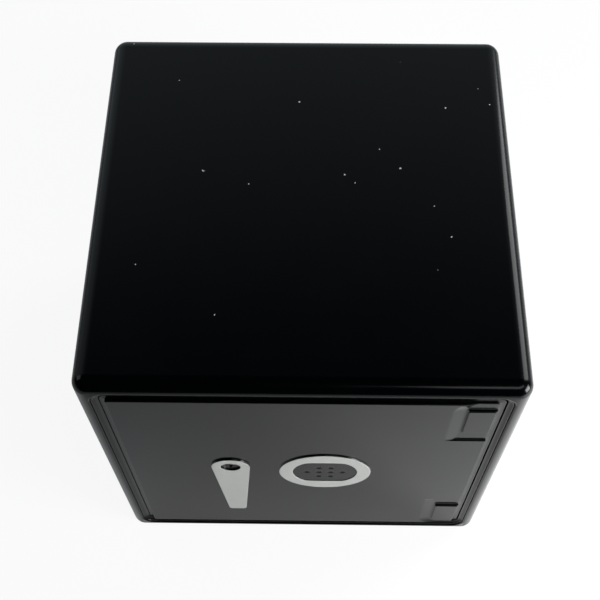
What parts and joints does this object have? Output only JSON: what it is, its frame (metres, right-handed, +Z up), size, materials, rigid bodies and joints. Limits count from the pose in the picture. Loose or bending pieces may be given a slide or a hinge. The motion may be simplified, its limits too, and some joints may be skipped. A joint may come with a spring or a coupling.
{
  "type": "toy safe coin bank",
  "caption": "Cube-shaped toy safe with an inset hinged door, a turning lever that works a latch arm, a round keypad ring and a coin slot in the back.",
  "frame": {"origin": "on the floor under the middle of the object's overall box, lever included", "axes": "+Z up, front door faces -Y, +X to the right seen from the front"},
  "size_m": [0.1, 0.1006, 0.1],
  "materials": {
    "black_plastic": "glossy moulded plastic",
    "black_liner_plastic": "fine matte texture",
    "light_grey_plastic": "satin moulded plastic",
    "dark_grey_plastic": "satin moulded plastic",
    "natural_plastic": "unpainted bearing plastic",
    "dark_steel": "black oxide",
    "plated_steel": "zinc plated"
  },
  "bodies": {
    "cabinet": {"cabinet_shell": "black_plastic", "front_frame": "black_plastic"},
    "door": {"door_panel": "black_plastic", "door_liner": "black_liner_plastic", "door_liner_screws": "plated_steel", "hinge_pin_upper": "plated_steel", "hinge_pin_lower": "plated_steel", "hinge_block_upper": "black_plastic", "hinge_block_lower": "black_plastic", "hinge_block_screws": "plated_steel", "keypad_bezel": "light_grey_plastic", "keypad_plate": "dark_grey_plastic", "keypad_push_nuts": "plated_steel", "spindle_bush": "natural_plastic"},
    "lever": {"handle_lever": "light_grey_plastic", "handle_screw": "dark_steel", "latch_spindle": "dark_grey_plastic", "wave_washer": "plated_steel", "latch_arm": "plated_steel", "latch_screw": "plated_steel"}
  },
  "joints": [
    {"name": "door_hinge", "type": "hinge", "parent": "cabinet", "child": "door", "pos_m": [0.04, -0.04655, 0.05], "axis": [0, 0, 1], "range_deg": [0, 110]},
    {"name": "lever_turn", "type": "hinge", "parent": "door", "child": "lever", "pos_m": [-0.0181, -0.04975, 0.0533], "axis": [0, 1, 0], "range_deg": [0, 45]}
  ]
}
